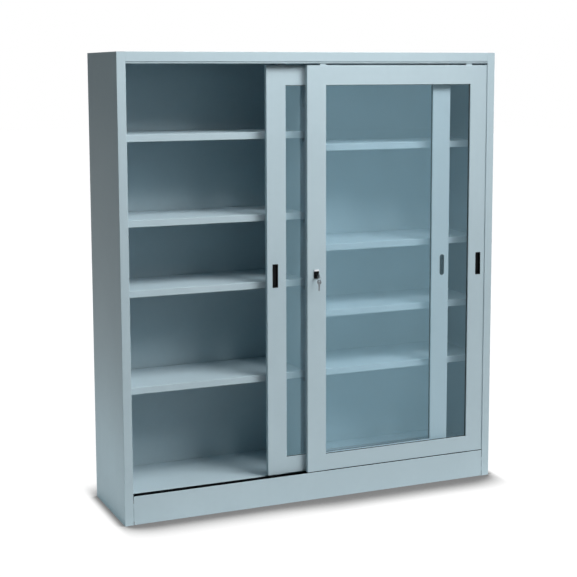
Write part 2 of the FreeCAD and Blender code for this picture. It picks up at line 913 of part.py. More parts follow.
def door(name, left, front, left_cutters, right_cutters):
    """Every piece of one door but its pulls, by node name."""
    right = left + door_width
    holes = screw_holes(left, front)
    pieces = {
        "left_stile": stile(left, 1, front, left_cutters + holes),
        "right_stile": stile(right, -1, front, right_cutters + holes),
        "top_rail": rail(door_top, -1, top_rail_face, left, front, holes),
        "bottom_rail": rail(door_bottom, 1, bottom_rail_face, left, front, holes),
        "glass": pane(left, front),
        "gasket": gasket(left, front),
        "hangers": hangers(left, front),
        "hanger_screws": hanger_screws(left, front),
        "guides": guides(left, front),
    }
    for side, x in zip(("left", "right"), hanger_places(left)):
        pieces[side + "_roller"] = roller(x, front)
    return {name + "_" + piece: shape for piece, shape in pieces.items()}


# lock and keys


def lock_plate():
    """Black escutcheon round the barrel."""
    back = plate(lock_x, lock_level + plate_rise, plate_width, plate_height, plate_corner,
                 front_door_face - plate_thickness, front_door_face)
    return back.cut(barrel_cutter(lock_x, front_door_face))


def lock_trim():
    """Bright bar along the top of the escutcheon."""
    low = lock_level + plate_rise + plate_height / 2 + seam
    return plate(lock_x, low + trim_height / 2, trim_width, trim_height, plate_corner,
                 front_door_face - trim_thickness, front_door_face)


def lock_barrel():
    """Fixed barrel through the stile."""
    length = barrel_back - barrel_front
    start = (lock_x, barrel_front, lock_level)
    return cylinder(barrel_radius, start, (0, 1, 0), length).cut(
        cylinder(plug_radius + plug_play, start, (0, 1, 0), length))


def lock_plug():
    """Turning plug with its keyway."""
    plug = cylinder(plug_radius, (lock_x, plug_front, lock_level), (0, 1, 0), plug_back - plug_front)
    wide, high = keyway_width / 2, keyway_height / 2
    keyway = box(lock_x - wide, lock_x + wide, plug_front - sheet, plug_front + keyway_depth,
                 lock_level - high, lock_level + high)
    return plug.cut(keyway)


def lock_cam():
    """Cam on the back of the plug, which points up when the lock is open."""
    arm = box(lock_x - cam_width / 2, lock_x + cam_width / 2, plug_back, plug_back + cam_thickness,
              lock_level, lock_level + cam_reach - cam_width / 2)
    hub = cylinder(cam_width / 2, (lock_x, plug_back, lock_level), (0, 1, 0), cam_thickness)
    tip = cylinder(cam_width / 2, (lock_x, plug_back, lock_level + cam_reach - cam_width / 2),
                   (0, 1, 0), cam_thickness)
    screw = cylinder(cam_screw_radius, (lock_x, plug_back + cam_thickness, lock_level), (0, 1, 0),
                     cam_screw_head)
    return united(arm, hub, tip, screw)


def key():
    """Flat key with the middle of its bow at the origin and its blade along +y."""
    side = key_thickness / 2
    bow = cylinder(key_bow_radius, (-side, 0, 0), (1, 0, 0), key_thickness)
    neck_end = key_bow_radius + key_neck_length - key_neck_root
    neck = box(-side, side, 0, neck_end, -key_neck_height / 2, key_neck_height / 2)
    blade = box(-side, side, neck_end, neck_end + key_blade_length, -key_blade_height / 2,
                key_blade_height / 2)
    hole = cylinder(key_hole_radius, (-key_thickness, -key_hole_offset, 0), (1, 0, 0), 2 * key_thickness)
    return united(bow, neck, blade).cut(hole)


def lock_key():
    """Key in the lock, standing upright."""
    shape = key()
    shape.translate(Vector(lock_x, bow_y, lock_level))
    return shape


def spare_key():
    """Second key, which hangs from the ring with its blade down, turned a little."""
    shape = key()
    shape.rotate(Vector(0, 0, 0), Vector(1, 0, 0), -90)
    shape.rotate(Vector(0, 0, 0), Vector(0, 0, 1), spare_key_turn)
    shape.translate(Vector(lock_x, hole_y, spare_hole - key_hole_offset))
    return shape


def key_ring():
    """Wire ring through the bows of both keys."""
    return Part.makeTorus(ring_radius, ring_wire, Vector(lock_x, hole_y, ring_top - ring_radius),
                          Vector(0, 1, 0))


parts = {
    "left_side_panel": side_panel(),
    "right_side_panel": mirrored(side_panel()),
    "roof_panel": roof_panel(),
    "floor_panel": floor_panel(),
    "left_back_panel": back_panel(),
    "right_back_panel": mirrored(back_panel()),
    "back_rivets": back_rivets(),
    "plinth_front": plinth_front(),
    "plinth_rear": plinth_rear(),
    "plinth_brackets": plinth_brackets(),
    "floor_bearer": floor_bearer(),
    "centre_divider": centre_divider(),
    "left_shelf_racks": shelf_racks(),
    "right_shelf_racks": mirrored(shelf_racks()),
    "left_door_jamb": door_jamb(),
    "right_door_jamb": mirrored(door_jamb()),
    "door_buffers": door_buffers(),
    "shelf_clips": shelf_clips(),
    "top_track": top_track(),
    "bottom_track": bottom_track(),
    "lock_plate": lock_plate(),
    "lock_trim": lock_trim(),
    "lock_barrel": lock_barrel(),
    "lock_plug": lock_plug(),
    "lock_cam": lock_cam(),
    "lock_key": lock_key(),
    "key_ring": key_ring(),
    "spare_key": spare_key(),
    "front_door_pull": pull(front_pull_x, front_door_face),
    "rear_door_pulls": rear_door_pulls(),
}
for number, slot in enumerate(left_shelf_slots, 1):
    parts["left_shelf_%d" % number] = shelf(slot)
for number, slot in enumerate(right_shelf_slots, 1):
    parts["right_shelf_%d" % number] = mirrored(shelf(slot))
parts.update(door("front_door", front_door_left, front_door_face,
                  [barrel_cutter(lock_x, front_door_face)],
                  [pull_cutter(front_pull_x, front_door_face)]))
parts.update(door("rear_door", rear_door_left, rear_door_face,
                  [pull_cutter(rear_pull_x, rear_door_face)],
                  [tray_cutter(cup_x, rear_door_face, cup_width, cup_height, cup_corner)]))

os.makedirs("parts", exist_ok=True)
for node, shape in parts.items():
    shape.exportStep("parts/" + node + ".step")
    state = "valid" if shape.isValid() else "INVALID"
    print(node, len(shape.Solids), "solids", round(shape.Volume), "mm3", state)
print(len(parts), "nodes")
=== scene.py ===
import json
import math

import bmesh
import bpy
import numpy as np
from mathutils import Matrix, Vector


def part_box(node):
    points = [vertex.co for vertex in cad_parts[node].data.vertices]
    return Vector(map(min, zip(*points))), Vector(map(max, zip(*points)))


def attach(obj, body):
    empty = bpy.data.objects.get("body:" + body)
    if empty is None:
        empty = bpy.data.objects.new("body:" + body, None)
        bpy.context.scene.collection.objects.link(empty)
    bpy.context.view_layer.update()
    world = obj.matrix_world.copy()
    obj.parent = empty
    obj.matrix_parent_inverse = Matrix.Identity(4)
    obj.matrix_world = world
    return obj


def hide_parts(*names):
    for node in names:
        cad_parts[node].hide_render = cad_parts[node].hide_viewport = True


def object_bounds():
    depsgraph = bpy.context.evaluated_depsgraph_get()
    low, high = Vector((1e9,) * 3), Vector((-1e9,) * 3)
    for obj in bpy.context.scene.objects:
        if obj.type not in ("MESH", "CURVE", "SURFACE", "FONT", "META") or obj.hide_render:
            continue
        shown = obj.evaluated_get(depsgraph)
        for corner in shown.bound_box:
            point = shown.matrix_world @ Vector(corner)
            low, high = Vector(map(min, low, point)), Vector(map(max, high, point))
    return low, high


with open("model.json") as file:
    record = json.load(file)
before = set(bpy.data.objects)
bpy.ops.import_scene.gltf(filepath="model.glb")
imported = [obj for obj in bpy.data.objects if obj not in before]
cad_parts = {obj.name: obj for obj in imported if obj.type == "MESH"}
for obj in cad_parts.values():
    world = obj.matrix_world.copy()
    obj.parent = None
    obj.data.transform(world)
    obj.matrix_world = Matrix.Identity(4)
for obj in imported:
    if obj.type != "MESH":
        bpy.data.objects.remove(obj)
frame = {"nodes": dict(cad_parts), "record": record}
cadLow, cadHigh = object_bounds()
nodes = frame["nodes"]
scene = bpy.context.scene
scene.view_settings.view_transform = "Standard"
print("frame loaded:", len(nodes), "nodes")


def addObject(name, data):
    added = bpy.data.objects.new(name, data)
    scene.collection.objects.link(added)
    return added


def grey(level):
    return (level, level, level, 1.0)


# camera

cameraValues = {
    "frameSide": 577,             # pixels
    "focalPixels": 1323.0,
    "sensorWidth": 36.0,          # millimetres
    "shiftY": -0.085,             # share of the frame's side
    "clipEnd": 100.0,
    "place": (-2.426, -5.481, 1.910),
    "yaw": 23.516,                # degrees, turned from +Y towards +X
    "pitch": -7.164,
    "roll": -0.187,
}


def makeCamera(values):
    data = bpy.data.cameras.new("camera")
    camera = addObject("camera", data)
    data.sensor_width = values["sensorWidth"]
    data.lens = data.sensor_width * values["focalPixels"] / values["frameSide"]
    data.shift_y = values["shiftY"]
    data.clip_end = values["clipEnd"]
    yaw, pitch, roll = (math.radians(values[name]) for name in ("yaw", "pitch", "roll"))
    level = math.cos(pitch)
    ahead = Vector((math.sin(yaw) * level, math.cos(yaw) * level, math.sin(pitch)))
    right = Vector((math.cos(yaw), -math.sin(yaw), 0.0))
    up = right.cross(ahead)
    rightRolled = right * math.cos(roll) + up * math.sin(roll)
    upRolled = up * math.cos(roll) - right * math.sin(roll)
    turn = Matrix((rightRolled, upRolled, -ahead)).transposed()
    camera.matrix_world = Matrix.Translation(values["place"]) @ turn.to_4x4()
    scene.camera = camera


makeCamera(cameraValues)
print("camera placed")

# materials: every pattern reads Object coordinates, which are metres in the cabinet's own frame. It
# is given as (waves per metre, octaves), and the height of a relief is in metres too

mixShare, mixFirst, mixSecond, mixResult = 0, 6, 7, 2    # the colour sockets of a Mix node
noiseSpan = (0.3, 0.7)                                   # most of a noise pattern lies in here


def newMaterial(name):
    material = bpy.data.materials.new(name)
    material.use_nodes = True
    tree = material.node_tree
    tree.nodes.clear()
    return material, tree


def addNode(tree, kind, inputs=None, **settings):
    # an input is linked where it is a socket, and set where it is a value
    node = tree.nodes.new("ShaderNode" + kind)
    for key, value in settings.items():
        setattr(node, key, value)
    for key, value in (inputs or {}).items():
        socket = node.inputs[key]
        if isinstance(value, bpy.types.NodeSocket):
            tree.links.new(value, socket)
        else:
            socket.default_value = value
    return node


def objectPlace(tree):
    return addNode(tree, "TexCoord").outputs["Object"]


def maths(tree, operation, first, second=0.0, clamp=False):
    node = addNode(tree, "Math", {0: first, 1: second}, operation=operation, use_clamp=clamp)
    return node.outputs[0]


def remap(tree, value, start, end, low, high, curve="LINEAR"):
    # start to end becomes low to high, and the value stays there on either side
    node = addNode(tree, "MapRange", {"Value": value, "From Min": start, "From Max": end,
                                      "To Min": low, "To Max": high}, interpolation_type=curve)
    return node.outputs["Result"]


def noiseAt(tree, place, scale, detail, stretch=(1.0, 1.0, 1.0)):
    # a stretch below 1 draws the noise out along its axis
    mapped = addNode(tree, "Mapping", {"Vector": place, "Scale": stretch}).outputs["Vector"]
    noise = addNode(tree, "TexNoise", {"Vector": mapped, "Scale": scale, "Detail": detail})
    return noise.outputs["Fac"]


def drifting(tree, place, pattern, low=0.0, high=1.0):
    # a value that wanders from low to high over the surface
    return remap(tree, noiseAt(tree, place, *pattern), *noiseSpan, low, high)


def bumped(tree, height, distance, under=None):
    inputs = {"Height": height, "Distance": distance, "Strength": 1.0}
    if under is not None:
        inputs["Normal"] = under
    return addNode(tree, "Bump", inputs).outputs["Normal"]


def blendColours(tree, share, first, second):
    mix = addNode(tree, "Mix", {mixShare: share, mixFirst: first, mixSecond: second}, data_type="RGBA")
    return mix.outputs[mixResult]


def blendShaders(tree, share, first, second):
    return addNode(tree, "MixShader", {0: share, 1: first, 2: second}).outputs["Shader"]


def linear(colour):
    # linear light of an sRGB colour in 0 to 255, by the sRGB curve: a straight foot, then a power
    shares = [part / 255 for part in colour]
    parts = [share / 12.92 if share <= 0.04045 else ((share + 0.055) / 1.055) ** 2.4 for share in shares]
    return (*parts, 1.0)


def toned(colour, gain, lift=0.0):
    # the colour times a gain, and a lift more
    return (*(min(1.0, part * gain + lift) for part in colour[:3]), 1.0)


paintValues = {
    "colour": (188, 207, 215),
    "shade": (183, 202, 210),
    "drift": (2.2, 2.0),
    "cloud": (34.0, 4.0),
    "cloudShare": 0.35,
    "glossDrift": (90.0, 5.0),
    "rough": (0.30, 0.38),
    "gloss": 0.08,
    "index": 1.5,
    "peel": (420.0, 1.0),         # ripples of the powder coat
    "peelHeight": 0.00006,
    "grain": (2600.0, 2.0),
    "grainHeight": 0.00002,
}


def paintMaterial(name, values):
    # satin powder coat: slow drift of colour, uneven gloss, orange peel and a fine grain
    material, tree = newMaterial(name)
    place = objectPlace(tree)
    drift = drifting(tree, place, values["drift"])
    cloud = drifting(tree, place, values["cloud"], 0.0, values["cloudShare"])
    share = maths(tree, "ADD", drift, cloud, clamp=True)
    colour = blendColours(tree, share, linear(values["colour"]), linear(values["shade"]))
    rough = drifting(tree, place, values["glossDrift"], *values["rough"])
    peel = bumped(tree, noiseAt(tree, place, *values["peel"]), values["peelHeight"])
    grain = bumped(tree, noiseAt(tree, place, *values["grain"]), values["grainHeight"], peel)
    principled = addNode(tree, "BsdfPrincipled", {
        "Base Color": colour, "Roughness": rough, "Normal": grain, "IOR": values["index"],
        "Specular IOR Level": values["gloss"]})
    addNode(tree, "OutputMaterial", {"Surface": principled.outputs["BSDF"]})
    return material


glassValues = {
    "tint": (246, 251, 254),
    "deepen": 0.97,               # the tint drifts to this much of itself
    "drift": (3.0, 2.0),
    "mirrorTint": (0.50, 0.84, 1.0, 1.0),
    "shadeThrough": (0.92, 0.94, 0.95, 1.0),
    "indices": {"front_door_glass": 1.56, "rear_door_glass": 1.84},   # the rear pane mirrors more
}


def glassMaterial(name, values, index):
    # clear float glass: a cool mirror tint, and lamps shine through it with a slight loss
    material, tree = newMaterial(name)
    drift = drifting(tree, objectPlace(tree), values["drift"])
    tint = linear(values["tint"])
    pane = addNode(tree, "BsdfPrincipled", {
        "Base Color": blendColours(tree, drift, tint, toned(tint, values["deepen"])), "Roughness": 0.0,
        "IOR": index, "Transmission Weight": 1.0, "Specular Tint": values["mirrorTint"]})
    clear = addNode(tree, "BsdfTransparent", {"Color": values["shadeThrough"]})
    path = addNode(tree, "LightPath")
    lighting = maths(tree, "MAXIMUM", path.outputs["Is Shadow Ray"], path.outputs["Is Diffuse Ray"])
    mix = blendShaders(tree, lighting, pane.outputs["BSDF"], clear.outputs["BSDF"])
    addNode(tree, "OutputMaterial", {"Surface": mix})
    return material


mouldedValues = {
    "drift": (55.0, 4.0),
    "glossDrift": (120.0, 3.0),
    "grainOctaves": 3.0,
    "worn": (1.35, 0.004),        # gain and lift from the colour to its lighter, worn tone
    "index": 1.48,
    "kinds": {
        "black_plastic": {"colour": (5, 7, 9), "rough": (0.32, 0.46), "gloss": 0.12,
                          "grain": 1500.0, "height": 0.00003},
        "black_nylon": {"colour": (26, 27, 29), "rough": (0.45, 0.60), "gloss": 0.4,
                        "grain": 900.0, "height": 0.00004},
        "white_nylon": {"colour": (226, 224, 214), "rough": (0.38, 0.52), "gloss": 0.5,
                        "grain": 700.0, "height": 0.00003},
        "black_rubber": {"colour": (34, 35, 36), "rough": (0.60, 0.80), "gloss": 0.4,
                         "grain": 1800.0, "height": 0.00006},
    },
}


def mouldedMaterial(name, values, kind):
    # moulded plastic or rubber: fine grain, and tone and gloss that drift a little
    material, tree = newMaterial(name)
    place = objectPlace(tree)
    base = linear(kind["colour"])
    drift = drifting(tree, place, values["drift"])
    rough = drifting(tree, place, values["glossDrift"], *kind["rough"])
    grain = noiseAt(tree, place, kind["grain"], values["grainOctaves"])
    principled = addNode(tree, "BsdfPrincipled", {
        "Base Color": blendColours(tree, drift, base, toned(base, *values["worn"])),
        "Roughness": rough, "IOR": values["index"], "Specular IOR Level": kind["gloss"],
        "Normal": bumped(tree, grain, kind["height"])})
    addNode(tree, "OutputMaterial", {"Surface": principled.outputs["BSDF"]})
    return material


metalValues = {
    "patchOctaves": 4.0,
    "scratchOctaves": 2.0,
    "kinds": {
        "zinc_steel": {"colour": (176, 180, 184), "shade": (148, 154, 160), "rough": (0.28, 0.46),
                       "patch": 260.0, "scratch": 900.0, "stretch": (1.0, 1.0, 0.06),
                       "height": 0.00003},
        "chrome": {"colour": (222, 226, 230), "shade": (208, 212, 217), "rough": (0.06, 0.14),
                   "patch": 120.0, "scratch": 2600.0, "stretch": (0.05, 1.0, 1.0),
                   "height": 0.000008},
        "key_metal": {"colour": (142, 148, 153), "shade": (118, 124, 129), "rough": (0.20, 0.38),
                      "patch": 420.0, "scratch": 2200.0, "stretch": (1.0, 0.08, 1.0),
                      "height": 0.00002},
    },
}


def metalMaterial(name, values, kind):
    # plated metal: patches of tone, and fine scratches drawn out along one axis
    material, tree = newMaterial(name)
    place = objectPlace(tree)
    patches = drifting(tree, place, (kind["patch"], values["patchOctaves"]))
    scratches = noiseAt(tree, place, kind["scratch"], values["scratchOctaves"], kind["stretch"])
    principled = addNode(tree, "BsdfPrincipled", {
        "Base Color": blendColours(tree, patches, linear(kind["colour"]), linear(kind["shade"])),
        "Metallic": 1.0, "Roughness": remap(tree, scratches, *noiseSpan, *kind["rough"]),
        "Normal": bumped(tree, scratches, kind["height"])})
    addNode(tree, "OutputMaterial", {"Surface": principled.outputs["BSDF"]})
    return material


materials = {"painted_steel": paintMaterial("powderCoat", paintValues)}
for nodeName, index in glassValues["indices"].items():
    materials[nodeName] = glassMaterial("pane_" + nodeName, glassValues, index)
for slotName, kind in mouldedValues["kinds"].items():
    materials[slotName] = mouldedMaterial("moulded_" + slotName, mouldedValues, kind)
for slotName, kind in metalValues["kinds"].items():
    materials[slotName] = metalMaterial("plated_" + slotName, metalValues, kind)

slotOf = {part["node"]: part["material_slot"] for part in frame["record"]["subparts"]}
for nodeName, piece in nodes.items():
    piece.data.materials.clear()
    piece.data.materials.append(materials.get(nodeName) or materials[slotOf[nodeName]])
print("finishes given to", len(nodes), "nodes")

# small pieces: stacks of rings worked out with numpy, in metres, over the CAD nodes they stand for;
# a profile's steps are (inset, depth), where a depth below 0 stands in front of the face

ringValues = {
    "cornerSteps": 7,
    "slopeSteps": 6,        # rings on a dome
    "easing": 0.3,          # where the middle of a soft edge lies, as a share of its size
    "weld": 1e-6,
    "sharpAngle": 32.0,     # degrees, from which an edge stays sharp
}


def roundedRing(wide, high, corner):
    # rounded rectangle: the middle of each corner plus corner times (cos a, sin a), a once round
    steps = ringValues["cornerSteps"]
    quarter = np.repeat(np.arange(4), steps)
    angle = (quarter + np.tile(np.linspace(0, 1, steps), 4)) * np.pi / 2
    sideX = np.where((quarter == 0) | (quarter == 3), 1, -1)
    sideZ = np.where(quarter < 2, 1, -1)
    middle = np.stack([sideX, sideZ], 1) * (np.array([wide, high]) / 2 - corner)
    return middle + corner * np.stack([np.cos(angle), np.sin(angle)], 1)


def insetStack(size, corner, leastCorner, profile):
    # a rounded rectangle for each step, its sides and its corner smaller by the inset
    rings = []
    for inset, deep in profile:
        shrunk = max(corner - inset, leastCorner)
        ring = roundedRing(size[0] - 2 * inset, size[1] - 2 * inset, shrunk)
        rings.append(np.column_stack([ring[:, 0], np.full(len(ring), deep), ring[:, 1]]))
    return np.stack(rings)


def softEdge(front, soft):
    # rounded edge from the side to the face, a bevel eased in its middle
    eased = ringValues["easing"] * soft
    return ((0.0, front + soft), (eased, front + eased), (soft, front))


def turnedStack(radii, depths, steps):
    # turned shape: radius times (cos a, sin a) at each depth, a once round
    angle = np.linspace(0, 2 * np.pi, steps, endpoint=False)
    x, z = np.outer(radii, np.cos(angle)), np.outer(radii, np.sin(angle))
    return np.stack([x, np.broadcast_to(np.array(depths)[:, None], x.shape), z], axis=-1)


def ringQuads(index):
    # each point, the next one round, and the two across from them on the next ring
    after = np.roll(index, -1, axis=1)
    return np.stack([index[:-1], after[:-1], after[1:], index[1:]], axis=-1).reshape(-1, 4).tolist()


def makePiece(name, parts, slotName, body, *replaced, wrap=False):
    # quads join each ring to the next; the two end rings are closed, or joined in a wrap
    spots, faces, start = [], [], 0
    for rings in parts:
        count, around = rings.shape[:2]
        index = start + np.arange(count * around).reshape(count, around)
        if wrap:
            faces += ringQuads(np.vstack([index, index[:1]]))
        else:
            faces += ringQuads(index) + [index[0].tolist(), index[-1].tolist()]
        spots.append(rings.reshape(-1, 3))
        start += count * around
    mesh = bpy.data.meshes.new(name)
    mesh.from_pydata(np.concatenate(spots).tolist(), [], faces)
    shell = bmesh.new()
    shell.from_mesh(mesh)
    bmesh.ops.remove_doubles(shell, verts=shell.verts, dist=ringValues["weld"])
    bmesh.ops.recalc_face_normals(shell, faces=shell.faces)
    shell.to_mesh(mesh)
    shell.free()
    mesh.polygons.foreach_set("use_smooth", np.ones(len(mesh.polygons), dtype=bool))
    mesh.set_sharp_from_angle(angle=math.radians(ringValues["sharpAngle"]))
    mesh.materials.append(materials[slotName])
    piece = addObject(name, mesh)
    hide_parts(*replaced)
    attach(piece, body)


trayValues = {
    "pullSize": (0.0264, 0.104),
    "pullCorner": 0.0015,
    "cupSize": (0.0228, 0.0965),
    "leastCorner": 0.0004,
    "flange": 0.0010,             # stands this far in front of the stile
    "rim": 0.0022,
    "wall": 0.0015,
    "depth": 0.0130,
    "soft": 0.0005,               # size of the soft edges of the flange and the pocket's mouth
    "footSteps": ((0.3, 2.0), (1.0, 0.6), (2.4, 0.0)),   # round foot, in soft edges: in and up
    "bossRadius": 0.0030,
    "bossRise": 0.0015,
    "bossFlat": 0.3,              # share of the radius that stays flat on top
    "bossDrop": 0.0400,
    "bossSteps": 28,
}


def trayRings(values, size, corner):
    # from the back of the tray, round the flange, over the soft mouth and down to the pocket's floor
    rim, wall, soft = values["rim"], values["wall"], values["soft"]
    front, back = -values["flange"], values["depth"]
    mouth, floor = rim + wall, back - wall
    outside = ((rim + soft, back), (rim, back - soft), (rim, 0.0), (0.0, 0.0))
    edge = softEdge(front, soft)
    lip = tuple((mouth - inset, deep) for inset, deep in reversed(edge))
    foot = tuple((mouth + inward * soft, floor - up * soft) for inward, up in values["footSteps"])
    return insetStack(size, corner, values["leastCorner"], outside + edge + lip + foot)


def bossRings(values):
    # low dome on the tray's floor: it shrinks with cos a and rises with sin a, up to its flat top
    radius, flat = values["bossRadius"], values["bossFlat"]
    floor = values["depth"] - values["wall"]
    slope = np.linspace(0, np.pi / 2, ringValues["slopeSteps"])
    radii = radius * np.cos(slope) * (1 - flat) + radius * flat
    return turnedStack(radii, floor - values["bossRise"] * np.sin(slope), values["bossSteps"])


def makePulls(values):
    frontLow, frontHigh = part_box("front_door_pull")
    rearLow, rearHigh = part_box("rear_door_pulls")
    flange = values["flange"]
    halfPull, halfCup = values["pullSize"][0] / 2, values["cupSize"][0] / 2
    pullRings = trayRings(values, values["pullSize"], values["pullCorner"])
    cupRings = trayRings(values, values["cupSize"], halfCup)
    boss = bossRings(values) - np.array([0.0, 0.0, values["bossDrop"]])
    level = (frontLow.z + frontHigh.z) / 2
    front = np.array([frontLow.x + halfPull, frontLow.y + flange, level])
    rear = np.array([rearLow.x + halfPull, rearLow.y + flange, level])
    cup = np.array([rearHigh.x - halfCup, rearLow.y + flange, level])
    makePiece("frontDoorPull", [pullRings + front, boss + front], "black_plastic", "front_door",
              "front_door_pull")
    makePiece("rearDoorPulls", [pullRings + rear, boss + rear, cupRings + cup], "black_plastic",
              "rear_door", "rear_door_pulls")


makePulls(trayValues)
print("pulls and finger cup made")

lockValues = {
    "plateSize": (0.024, 0.032),
    "plateCorner": 0.0022,
    "plateLeastCorner": 0.0008,
    "plateDepth": 0.0040,
    "holeRadius": 0.0091,
    "dishSpread": 1.06,           # the dish round the hole, drawn out from the plate's middle
    "dishShift": 0.03,            # and moved back by this share of the hole's offset
    "boreDrop": 0.5,              # depth of the dish, in soft edges
    "trimSize": (0.023, 0.0085),
    "trimCorner": 0.0016,
    "trimLeastCorner": 0.0005,
    "trimDepth": 0.0050,
    "trimDish": ((2.2, 0.0), (2.6, 0.2)),    # inset and depth, in soft edges
    "soft": 0.0009,
}


def plateRings(values, rise):
    # escutcheon: its outline at the back and round its soft front edge, a shallow dish, then the
    # round hole, radius times (cos a, sin a), where a is the angle of the outline's point. The
    # plate's middle is higher than the hole's by the rise
    soft, front = values["soft"], -values["plateDepth"]
    outer = insetStack(values["plateSize"], values["plateCorner"], values["plateLeastCorner"],
                       ((0.0, 0.0), *softEdge(front, soft)))
    angle = np.arctan2(outer[0, :, 2] + rise, outer[0, :, 0])
    circle = np.column_stack([np.cos(angle), np.zeros_like(angle), np.sin(angle)]) * values["holeRadius"]
    circle[:, 2] -= rise
    spread = values["dishSpread"]
    dish = circle * np.array([spread, 1.0, spread]) + np.array([0.0, front, values["dishShift"] * rise])
    bore = circle + np.array([0.0, front + values["boreDrop"] * soft, 0.0])
    return np.concatenate([outer, dish[None], bore[None], circle[None]])


def trimRings(values):
    # bright bar: its outline at the back and round its soft front edge, then a faint dish in its face
    soft, front = values["soft"], -values["trimDepth"]
    dish = tuple((inset * soft, front + deep * soft) for inset, deep in values["trimDish"])
    return insetStack(values["trimSize"], values["trimCorner"], values["trimLeastCorner"],
                      ((0.0, 0.0), *softEdge(front, soft), *dish))


def makeLock(values):
    plateLow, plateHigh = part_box("lock_plate")
    trimLow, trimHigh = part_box("lock_trim")
    barrelLow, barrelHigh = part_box("lock_barrel")
    plateMiddle, trimMiddle = (plateLow + plateHigh) / 2, (trimLow + trimHigh) / 2
    rise = plateMiddle.z - (barrelLow.z + barrelHigh.z) / 2
    plate = plateRings(values, rise) + np.array([plateMiddle.x, plateHigh.y, plateMiddle.z])
    trim = trimRings(values) + np.array([trimMiddle.x, trimHigh.y, trimMiddle.z])
    makePiece("lockPlate", [plate], "black_plastic", "front_door", "lock_plate", wrap=True)
    makePiece("lockTrim", [trim], "chrome", "front_door", "lock_trim")


makeLock(lockValues)
print("lock plate and trim made")

keyValues = {
    "thickness": 0.0020,
    "bow": 0.0110,                # radius of the round end that is held
    "holeOffset": 0.0055,
    "holeRadius": 0.0026,
    "neckEnd": 0.0195,
    "neckHalf": 0.0045,
    "bladeHalf": 0.0040,
    "length": 0.0395,
    "tipShare": 0.2,              # the tip's half height is this share of the blade's and a bit more
    "tipMore": 0.0006,
    "tipSlope": 0.9,
    "cuts": (0.0014, 0.0006, 0.0018, 0.0010, 0.0015),
    "cutMargin": 0.0015,          # plain blade before the first cut and after the last
    "leastWall": 0.0002,
    "soft": 0.0003,
    "softShare": 0.25,            # the most of the wall that a soft edge takes
    "overlap": 0.00004,           # of the two halves
    "bowStart": 0.03,             # angle round the bow at which the key starts, in radians
    "steps": (14, 13, 9, 90),     # rings round the bow, over the hole, to the neck and to the tip
    "spareTurn": 35.0,            # degrees
}


def keyHalf(values, way):
    # half of a flat key along y, above or below its middle. Outer edge: the bow's circle, the neck,
    # the blade and a straight slope at the tip; the lower one has a row of cuts, each a sine squared.
    # Inner edge: the hole's circle, or the middle
    length, bow, neckEnd = values["length"], values["bow"], values["neckEnd"]
    holeOffset, holeRadius = values["holeOffset"], values["holeRadius"]
    bladeHalf, margin = values["bladeHalf"], values["cutMargin"]
    roundBow, overHole, toNeck, toTip = values["steps"]
    along = np.unique(np.concatenate([
        -bow * np.cos(np.linspace(values["bowStart"], np.pi / 2, roundBow)),
        np.linspace(-holeOffset - holeRadius, holeRadius - holeOffset, overHole),
        np.linspace(0, bow, toNeck), np.linspace(bow, length, toTip)]))
    circle = np.sqrt(np.clip(bow ** 2 - along ** 2, 0, None))
    stem = np.where(along < neckEnd, values["neckHalf"], bladeHalf)
    outer = np.maximum(circle, np.where(along > 0, stem, 0.0))
    slope = np.clip(length - along, 0, None) * values["tipSlope"]
    outer = np.minimum(outer, bladeHalf * values["tipShare"] + slope + values["tipMore"])
    if way < 0:
        cuts = np.array(values["cuts"])
        pitch = (length - neckEnd - 2 * margin) / len(cuts)
        step = (along - neckEnd - margin) / pitch
        which = np.clip(np.floor(step), 0, len(cuts) - 1).astype(int)
        wave = np.sin(np.pi * np.clip(step - which, 0, 1)) ** 2
        outer = outer - np.where((step > 0) & (step < len(cuts)), cuts[which] * wave, 0.0)
    hole = holeRadius ** 2 - (along + holeOffset) ** 2
    inner = np.where(hole > 0, np.sqrt(np.clip(hole, 0, None)), -values["overlap"])
    inner = np.minimum(inner, outer - values["leastWall"])
    half, soft = values["thickness"] / 2, values["soft"]
    shoulder = outer - np.minimum(soft, (outer - inner) * values["softShare"])
    across = np.array([-half, half, half, half - soft, soft - half, -half])
    heights = np.stack([inner, inner, shoulder, outer, outer, shoulder], axis=1)
    return np.stack([np.broadcast_to(across, heights.shape),
                     np.broadcast_to(along[:, None], heights.shape), heights * way], axis=-1)


def hungDown(points, turn):
    # the key's length turned down to -z, then the key about it: (x cos a - y sin a, x sin a + y cos a)
    x, y, z = points[..., 0], points[..., 2], -points[..., 1]
    return np.stack([x * math.cos(turn) - y * math.sin(turn),
                     x * math.sin(turn) + y * math.cos(turn), z], axis=-1)


def makeKeys(values):
    halves = [keyHalf(values, 1), keyHalf(values, -1)]
    low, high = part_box("lock_key")
    place = np.array([(low.x + high.x) / 2, low.y + values["bow"], (low.z + high.z) / 2])
    makePiece("lockKey", [half + place for half in halves], "key_metal", "lock_core", "lock_key")
    low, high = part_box("spare_key")
    place = np.array([(low.x + high.x) / 2, (low.y + high.y) / 2, high.z - values["bow"]])
    turn = math.radians(values["spareTurn"])
    makePiece("spareKey", [hungDown(half, turn) + place for half in halves], "key_metal",
              "spare_keys", "spare_key")


makeKeys(keyValues)
print("keys made")

rivetValues = {
    "pitch": 0.150,
    "headRadius": 0.0032,
    "headRise": 0.0008,
    "shankRadius": 0.0016,
    "grip": 0.0020,               # the two sheets
    "tailRadius": 0.0026,
    "tailRise": 0.0020,
    "tailEnd": 0.45,              # radius of the tail's end, as a share of the tail's
    "pinRadius": 0.0009,
    "pinSunk": (0.9, 0.35),       # the pin's end, as shares of its radius and of the head's rise
    "turnSteps": 20,
}


